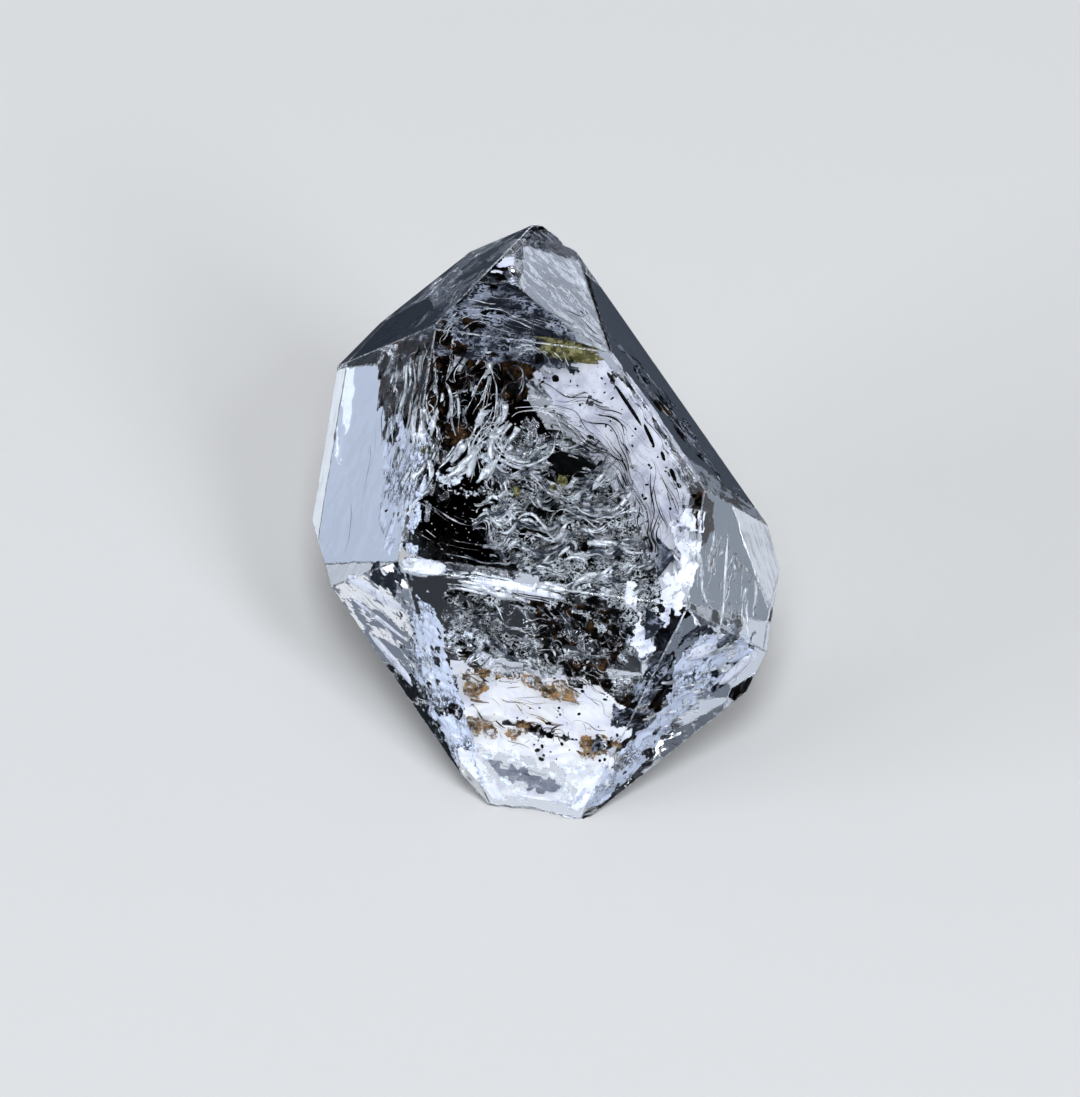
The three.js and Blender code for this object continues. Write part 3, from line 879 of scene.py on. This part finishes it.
def make_studio():
    """A pale floor and a faint dome that only plain surfaces see, and the lamps."""
    bpy.ops.object.select_all(action="DESELECT")
    bpy.ops.mesh.primitive_plane_add(size=FLOOR_SIZE * MM)
    floor = named_piece("floor")
    floor.visible_transmission = floor.visible_glossy = False
    pale = Finish("pale_floor", {
        "Base Color": (0.285, 0.273, 0.26, 1),
        "Roughness": 1.0,
        "Specular IOR Level": 0.0,
    })
    floor.data.materials.append(pale.material)
    world = bpy.data.worlds.new("dome")
    bpy.context.scene.world = world
    world.use_nodes = True
    background = world.node_tree.nodes["Background"]
    background.inputs["Color"].default_value = (1, 1, 1, 1)
    background.inputs["Strength"].default_value = DOME_LIGHT
    world.cycles_visibility.glossy = world.cycles_visibility.transmission = False
    for name, facts in LAMPS.items():
        make_lamp(name, *facts)


def bite(crystal, point, faces, size, salt):
    """A shell-shaped chip out of an edge that two faces share, cut with a slightly uneven ball."""
    radius, depth = size
    share, finer = BALL_UNEVEN
    out = (outward(*faces[0]) + outward(*faces[1])).normalized()
    bpy.ops.object.select_all(action="DESELECT")
    middle = point + out * (radius - depth)
    bpy.ops.mesh.primitive_ico_sphere_add(subdivisions=4, radius=radius, location=middle)
    ball = named_piece("ball")
    bpy.ops.object.transform_apply(location=True)
    for spot in ball.data.vertices:
        away = spot.co - point
        spot.co += away * share * noise.noise(spot.co * finer + Vector((salt, salt, salt)))
    for face in ball.data.polygons:
        face.material_index = WORN
    cut = crystal.modifiers.new("cut", "BOOLEAN")
    cut.operation = "DIFFERENCE"
    cut.object = ball
    bpy.context.view_layer.objects.active = crystal
    bpy.ops.object.modifier_apply(modifier="cut")
    bpy.data.objects.remove(ball)


def break_edges(crystal):
    """The chips and nicks along the foot, at the upper tip and on the other edges."""
    foot = [FRONT_LOWER, ("back", "lower")]
    left = corner(*foot, ("back_left", "lower"))
    right = corner(*foot, RIGHT_LOWER)
    bite(crystal, left.lerp(right, 0.42), foot, FOOT_CHIP, 0)
    count = round((right - left).length / FOOT_NICK_SPACING)
    for i in range(count + 1):
        size = FOOT_NICK[0] * (1 + 0.3 * math.sin(2.4 * i)), FOOT_NICK[1] * (1.2 + math.sin(1.7 * i + 0.5))
        bite(crystal, left.lerp(right, i / count), foot, size, i)
    ridge = [FRONT_UPPER, ("back_right", "upper")]
    tip = corner(*ridge, LEFT_UPPER)
    bite(crystal, tip.lerp(corner(*ridge, RIGHT_UPPER), 0.72), ridge, TIP_CHIP, 3)
    for left_side, right_side, part in (
        ("front_left", "back_left", 0.52), ("front_right", "back_right", 0.8),
        ("back", "back_left", 0.35), ("back", "back_right", 0.6),
    ):
        edge = [(left_side, "prism"), (right_side, "prism")]
        top, bottom = (corner(*edge, (left_side, band)) for band in ("upper", "lower"))
        bite(crystal, top.lerp(bottom, part), edge, EDGE_NICK, 7)


def cut_off(point, normal):
    """Cuts off all that lies beyond a plane, and closes the cut."""
    bpy.ops.mesh.select_all(action="SELECT")
    bpy.ops.mesh.bisect(plane_co=point, plane_no=normal, use_fill=True, clear_outer=True)


def make_crystal():
    """The clear crystal, cut from a block, with worn edges and chips, round its own middle in mm."""
    bpy.ops.object.select_all(action="DESELECT")
    bpy.ops.mesh.primitive_cube_add(size=BLANK)
    crystal = named_piece("crystal_body")
    crystal.data.materials.append(clear_quartz())
    crystal.data.materials.append(worn_quartz())
    edit(crystal)
    for normal, far in FACE_PLANES:
        cut_off(normal * far, normal)
    around_tip = [FRONT_UPPER, LEFT_UPPER, ("back_right", "upper")]
    tip = corner(*around_tip)
    for face in around_tip:
        normal = (outward(*face) + Vector((0, 0, 2))).normalized()
        cut_off(tip - normal * TIP_WEAR, normal)
    bpy.ops.mesh.select_all(action="SELECT")
    bpy.ops.mesh.remove_doubles(threshold=0.001)
    bpy.ops.mesh.normals_make_consistent(inside=False)
    bpy.ops.mesh.bevel(offset=EDGE_WEAR, segments=2, affect="EDGES", material=WORN)
    bpy.ops.object.mode_set(mode="OBJECT")
    break_edges(crystal)
    return crystal


def lay_down(crystal):
    """The move that lays a piece made round the crystal's middle where the solid lies, in metres."""
    turn = Matrix.Rotation(math.radians(END_SLANT - 90), 4, "X")
    corners = [turn @ v.co for v in crystal.data.vertices]
    low = Vector(map(min, zip(*corners)))
    high = Vector(map(max, zip(*corners)))
    middle = Vector(((low.x + high.x) / 2, (low.y + high.y) / 2, low.z))
    return Matrix.Scale(MM, 4) @ Matrix.Translation(-middle) @ turn


def flat_noise(point, size, salt):
    """Smooth noise over a face, from about -1 to 1. Each salt gives a pattern of its own."""
    return noise.noise(Vector((point.x / size, point.y / size, salt)))


def within(point, outline):
    """Whether a flat point lies inside an outline."""
    inside = False
    for (x0, y0), (x1, y1) in zip(outline, outline[1:] + outline[:1]):
        if (y0 > point.y) != (y1 > point.y):
            if point.x < x0 + (point.y - y0) / (y1 - y0) * (x1 - x0):
                inside = not inside
    return inside


def corners_of(outline):
    return [Vector(map(pick, zip(*outline))) for pick in (min, max)]


def spot_in(draw, outline):
    """A point drawn at random inside an outline."""
    low, high = corners_of(outline)
    while True:
        spot = Vector((draw.uniform(low.x, high.x), draw.uniform(low.y, high.y)))
        if within(spot, outline):
            return spot


def mostly_small(draw, sizes):
    """A number drawn between a least and a most, and more often near the least."""
    return sizes[0] + (sizes[1] - sizes[0]) * draw.random() ** 2


def folds(sheet, point):
    """How high a folded sheet stands at a point, from about -1 to 1."""
    warp = Vector((flat_noise(point, WARP_SIZE, 11), flat_noise(point, WARP_SIZE, 17)))
    bent = point + warp * sheet.warp
    if isinstance(sheet.course, tuple):
        away = bent - Vector(sheet.course)
        over, along = away.length, math.atan2(away.y, away.x) * RING_LENGTH
    else:
        turn = math.radians(sheet.course)
        over = bent.x * math.sin(turn) - bent.y * math.cos(turn)
        along = bent.x * math.cos(turn) + bent.y * math.sin(turn)
    height = 0
    for finer, share in FOLD_LAYERS:
        spot = Vector((over / sheet.wide, along / sheet.long, sheet.seed)) * finer
        height += share * (1 - 2 * abs(noise.noise(spot)))
    return height


def torn(sheet, point):
    """Whether a sheet has a gap at a point, or the point lies outside its ragged outline."""
    spot = Vector((point.x * TEAR_FINENESS, point.y * TEAR_FINENESS, sheet.seed + 30))
    tear = noise.fractal(spot, *TEAR_LAYERS)
    return tear < sheet.gaps or not within(point + Vector((tear, -tear)) * RAGGED_EDGE, sheet.outline)


def make_sheet(name, sheet, material, slot):
    """A thin folded sheet with torn gaps, such as a healed crack or a film of stain."""
    low, high = corners_of(sheet.outline)
    size = high - low
    middle = (low + high) / 2
    bpy.ops.object.select_all(action="DESELECT")
    bpy.ops.mesh.primitive_grid_add(
        x_subdivisions=round(size.x / FILM_CELL), y_subdivisions=round(size.y / FILM_CELL), size=1
    )
    film = named_piece(name)
    film.data.transform(Matrix.Translation((middle.x, middle.y, 0)) @ Matrix.Diagonal((size.x, size.y, 1, 1)))
    edit(film)
    bpy.ops.mesh.select_mode(type="VERT")
    bpy.ops.mesh.select_all(action="DESELECT")
    bpy.ops.object.mode_set(mode="OBJECT")
    place = face_place(*sheet.face)
    for spot in film.data.vertices:
        point = Vector((spot.co.x, spot.co.y))
        swell = sheet.swell * flat_noise(point, SWELL_SIZE, sheet.seed)
        spot.co.z = sheet.height * folds(sheet, point) + swell - sheet.depth
        spot.select = torn(sheet, point) or depth_in_crystal(place @ spot.co) < SKIN
    bpy.ops.object.mode_set(mode="EDIT")
    bpy.ops.mesh.delete(type="VERT")
    # Patches that touch at a corner only would leave an open seam, so that corner goes too.
    for _ in range(LOOSE_CORNER_ROUNDS):
        bpy.ops.mesh.select_all(action="DESELECT")
        bpy.ops.mesh.select_non_manifold(
            use_wire=False, use_boundary=False, use_multi_face=False, use_non_contiguous=False, use_verts=True
        )
        bpy.ops.mesh.delete(type="VERT")
    bpy.ops.mesh.select_all(action="SELECT")
    bpy.ops.mesh.delete_loose()
    bpy.ops.object.mode_set(mode="OBJECT")
    thickness = film.modifiers.new("thickness", "SOLIDIFY")
    thickness.thickness = FILM_THICKNESS
    bpy.ops.object.modifier_apply(modifier="thickness")
    seal_in(film, sheet.face, material)


def heading_at(course, point):
    """Which way a channel runs at a point, in radians: as its course says, or round the course's point."""
    if isinstance(course, tuple):
        away = point - Vector(course)
        return math.atan2(-away.x, away.y)
    return math.radians(course)


def channel_path(draw, bed):
    """The points of one channel, each with how thick it is there."""
    place = face_place(*bed.face)
    point = spot_in(draw, bed.outline)
    depth = draw.uniform(*bed.depth)
    thickness = mostly_small(draw, bed.thickness)
    salt = draw.uniform(0, 0.8)
    steps = round(draw.uniform(*bed.length) / CHANNEL_STRIDE)
    path = []
    for step in range(steps + 1):
        swing = SWING * bed.curl * flat_noise(point, bed.wriggle, salt)
        sway = SWAY[0] * bed.curl * flat_noise(point, SWAY[1], salt + 7)
        angle = heading_at(bed.course, point) + swing + sway
        point = point + Vector((math.cos(angle), math.sin(angle))) * CHANNEL_STRIDE
        level = RISE[0] * flat_noise(point, RISE[1], salt + 3) - depth
        sealed = depth_in_crystal(place @ Vector((point.x, point.y, level))) > SKIN
        if not (sealed and within(point, bed.outline)):
            break
        beads = 1 + BEADS[0] * flat_noise(point, BEADS[1], salt + 5)
        beads += FINE_BEADS[0] * flat_noise(point, FINE_BEADS[1], salt + 9)
        taper = END_TAPER + (1 - END_TAPER) * math.sin(math.pi * step / steps)
        path.append((point.x, point.y, level, thickness * taper * beads))
    return path


def make_channels(name, bed, material, slot):
    """All the channels of a bed as one piece: round tubes along their paths, with closed ends."""
    draw = random.Random(bed.seed)
    curve = bpy.data.curves.new(name, "CURVE")
    curve.dimensions = "3D"
    curve.bevel_depth = 1
    curve.bevel_resolution = 1
    curve.use_fill_caps = True
    for _ in range(bed.count):
        path = channel_path(draw, bed)
        if len(path) < CHANNEL_LEAST:
            continue
        spline = curve.splines.new("POLY")
        spline.points.add(len(path) - 1)
        for point, (x, y, z, thickness) in zip(spline.points, path):
            point.co = (x, y, z, 1)
            point.radius = thickness
    channels = bpy.data.objects.new(name, curve)
    bpy.context.scene.collection.objects.link(channels)
    select_only(channels)
    bpy.ops.object.convert(target="MESH")
    channels = named_piece(name)
    edit(channels)
    bpy.ops.mesh.select_all(action="SELECT")
    bpy.ops.mesh.remove_doubles(threshold=CAP_GAP)
    close_edit()
    seal_in(channels, bed.face, material)


def make_grain(fineness, rough, seed):
    """One rough grain, 1 mm across, to be copied."""
    bpy.ops.object.select_all(action="DESELECT")
    bpy.ops.mesh.primitive_ico_sphere_add(subdivisions=fineness, radius=0.5)
    grain = named_piece("grain")
    edit(grain)
    bpy.ops.mesh.select_all(action="SELECT")
    bpy.ops.transform.vertex_random(offset=rough, seed=seed)
    close_edit()
    return grain


def strew(grain, name, bed, material, slot):
    """Copies of a grain strewn in a bed, each with its own size and turn, as one piece."""
    draw = random.Random(bed.seed)
    place = face_place(*bed.face)
    bpy.ops.object.select_all(action="DESELECT")
    for _ in range(bed.count):
        spot = spot_in(draw, bed.outline)
        middle = Vector((spot.x, spot.y, -draw.uniform(*bed.depth)))
        size = mostly_small(draw, bed.size)
        shape = Matrix.Diagonal((size * draw.uniform(1, bed.stretch), size, size * GRAIN_FLATNESS, 1))
        turn = Matrix.Rotation(draw.uniform(0, math.pi), 4, "Z")
        if depth_in_crystal(place @ middle) < size:
            continue
        copy = grain.copy()
        copy.data = grain.data.copy()
        copy.data.transform(Matrix.Translation(middle) @ turn @ shape)
        bpy.context.scene.collection.objects.link(copy)
        copy.select_set(True)
        bpy.context.view_layer.objects.active = copy
    bpy.ops.object.join()
    seal_in(named_piece(name), bed.face, material)


def make_lump(name, facts, material, slot):
    """A single lump: a ball flattened, and made uneven on two scales."""
    face, across, up, depth, wide, high, thick, heading, fineness = facts
    bpy.ops.object.select_all(action="DESELECT")
    bpy.ops.mesh.primitive_ico_sphere_add(subdivisions=fineness, radius=0.5)
    lump = named_piece(name)
    salt = Vector((across * 3, up * 3, 0))
    for spot in lump.data.vertices:
        spot.co *= 1 + sum(share * noise.noise(spot.co * finer + salt) for share, finer in LUMP_UNEVEN)
    place = Matrix.Translation((across, up, -depth)) @ spin(heading)
    lump.data.transform(place @ Matrix.Diagonal((wide, high, thick, 1)))
    seal_in(lump, face, material)


def make_window(name, facts, material, slot):
    """A flat three-cornered pane with uneven edges."""
    face, across, up, depth, wide, high, heading = facts
    bpy.ops.object.select_all(action="DESELECT")
    back, front = PANE_RADII
    bpy.ops.mesh.primitive_cone_add(vertices=3, radius1=back, radius2=front, depth=PANE_THICKNESS)
    pane = named_piece(name)
    edit(pane)
    bpy.ops.mesh.select_all(action="SELECT")
    bpy.ops.mesh.subdivide(number_cuts=5)
    close_edit()
    share, finer = PANE_UNEVEN
    noise.seed_set(PANE_SEED)
    for spot in pane.data.vertices:
        spot.co += noise.noise_vector(spot.co * finer + Vector((across, up, 0))) * share
    place = Matrix.Translation((across, up, -depth)) @ spin(heading)
    pane.data.transform(place @ Matrix.Diagonal((wide, high, 1, 1)) @ spin(-90))
    seal_in(pane, face, material)


make_camera()
make_studio()
crystal = make_crystal()
PLACE = lay_down(crystal)
crystal.data.transform(PLACE)
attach(crystal, "root")
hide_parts("quartz_crystal")

gas = gas_film()
brown = brown_film()
rusty = rust()
shining = silver("shining", 0.3)
silvery = silver("silver", 0.43)
milky = veil("veil", (0.92, 0.95, 1.0, 1), patch=0.35, clear=0.48)
lavender = veil("pale_veil", (0.72, 0.71, 0.75, 1), patch=0.8, clear=0.3)
cloudy = veil("foot_veil", (1.0, 0.98, 0.96, 1), patch=0.5, clear=0.22, shading=0.92, softness=0.2)
# White for real white veils and patches, and for the painted highlights at the upper tip and along the edge.
white = veil("white_veil_and_highlight", (0.95, 0.95, 1.0, 1), patch=0.6, clear=0.3, shading=0.85, softness=0.2)
smoke = veil("smoke", (0.24, 0.25, 0.3, 1), patch=0.9, clear=0.2, softness=0.5)
crumpled = net("net", 0.3, (0.6, 1, 1), (0.003, 0.003, 0.003, 1), (0.95, 0.98, 1.0, 1))
pale = net("pale_net", 0.4, (1, 1, 0.6), (0.72, 0.76, 0.88, 1), (0.02, 0.022, 0.03, 1))
slate = net("slate_net", 0.55, (1, 1, 1), (0.014, 0.016, 0.022, 1), (0.4, 0.43, 0.52, 1))
black = carbon()
green = oil()
grain = make_grain(fineness=2, rough=0.12, seed=3)
bubble = make_grain(fineness=1, rough=0.16, seed=5)

# All that is sealed in the crystal: how it is made, from which table, with which finish and slot.
for make, table, material, slot in (
    (make_sheet, CRACKS, gas, "channel"),
    (make_sheet, BROWN_FILMS, brown, "brown_film"),
    (make_channels, CHANNEL_BEDS, gas, "channel"),
    (make_sheet, RUST_FILMS, rusty, "brown_film"),
    (make_channels, RUST_BEDS, rusty, "brown_film"),
    (make_channels, STRAND_BEDS, shining, "channel"),
    (make_channels, TANGLE_BEDS, silvery, "channel"),
    (make_sheet, VEILS, milky, "veil"),
    (make_sheet, PALE_VEILS, lavender, "veil"),
    (make_sheet, FOOT_VEILS, cloudy, "veil"),
    (make_sheet, NET_FILMS, crumpled, "brown_film"),
    (make_sheet, PALE_NETS, pale, "veil"),
    (make_sheet, SLATE_FILMS, slate, "brown_film"),
    (partial(strew, grain), GRAIN_BEDS, black, "carbon"),
    (partial(strew, bubble), BUBBLE_BEDS, silvery, "channel"),
    (make_lump, CARBON_LUMPS, black, "carbon"),
    (make_channels, DARK_BEDS, black, "carbon"),
    (make_sheet, WHITE_FILMS, white, "veil"),
    (make_lump, WHITE_LUMPS, white, "veil"),
    (make_window, WINDOWS, slate, "brown_film"),
    (make_sheet, SMOKE_FILMS, smoke, "veil"),
    (make_lump, OIL_LUMPS, green, "petroleum"),
):
    for name, facts in table.items():
        make(name, facts, material, slot)
bpy.data.objects.remove(grain)
bpy.data.objects.remove(bubble)

scene = bpy.context.scene
scene.view_settings.view_transform = "Standard"
scene.cycles.max_bounces = 24
scene.cycles.transmission_bounces = 24
scene.cycles.glossy_bounces = 12
scene.cycles.transparent_max_bounces = 32
